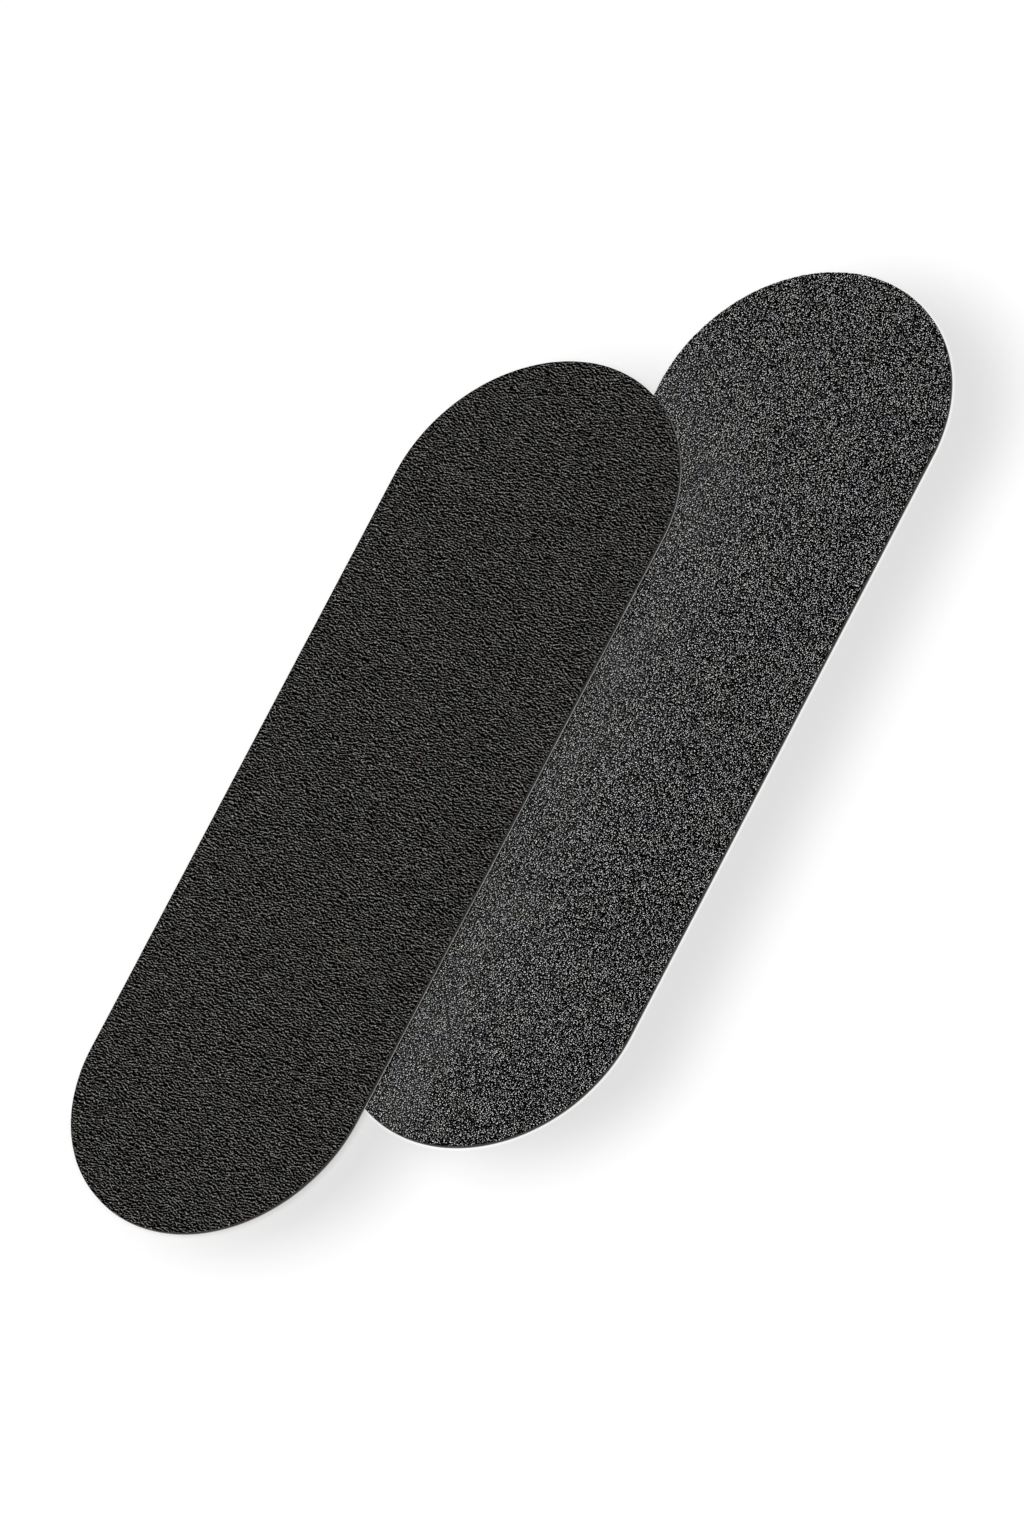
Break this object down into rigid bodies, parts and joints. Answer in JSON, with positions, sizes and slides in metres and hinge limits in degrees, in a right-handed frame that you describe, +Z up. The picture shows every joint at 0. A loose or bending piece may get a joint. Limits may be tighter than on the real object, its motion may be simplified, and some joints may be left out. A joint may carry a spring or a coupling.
{
  "type": "pedicure file abrasive pads",
  "caption": "Stick-on abrasive pads with round ends for a pedicure file, coarse and fine, each on its release liner, the fine one leaning on the coarse one.",
  "frame": {"origin": "on the ground, below the middle of the pair of pads", "axes": "+Z up, +Y along the pads towards the ends that they peel from, +X across the pads from the fine one to the coarse one"},
  "size_m": [0.065, 0.134, 0.0017],
  "materials": {
    "coarse_grit": "sharp silicon carbide grains under resin, neutral black with bright facets",
    "fine_grit": "fine grains in a rippled size coat, warm black, dull",
    "resin": "dark cured resin, satin",
    "latex_paper": "black latex-saturated paper, dull",
    "adhesive": "tacky pressure-sensitive adhesive, milky and glossy",
    "silicone_paper": "off-white glassine with a silicone coat, satin"
  },
  "bodies": {
    "coarse_liner": {"coarse_release_liner": "silicone_paper"},
    "coarse_pad": {"coarse_adhesive_film": "adhesive", "coarse_paper_backing": "latex_paper", "coarse_make_coat": "resin", "coarse_grit_coat": "coarse_grit"},
    "fine_liner": {"fine_release_liner": "silicone_paper"},
    "fine_pad": {"fine_adhesive_film": "adhesive", "fine_paper_backing": "latex_paper", "fine_make_coat": "resin", "fine_grit_coat": "fine_grit"}
  },
  "joints": [
    {"name": "coarse_peel", "type": "hinge", "parent": "coarse_liner", "child": "coarse_pad", "pos_m": [0.0135, 0.067, 0.00011], "axis": [-1, 0, 0], "range_deg": [0, 60]},
    {"name": "fine_lift", "type": "slide", "parent": "coarse_pad", "child": "fine_liner", "axis": [-0.0289, 0, 0.9996], "range_m": [0, 0.03]},
    {"name": "fine_peel", "type": "hinge", "parent": "fine_liner", "child": "fine_pad", "pos_m": [-0.01351, 0.048, 0.00066], "axis": [-0.9996, 0, -0.0289], "range_deg": [0, 60]}
  ]
}
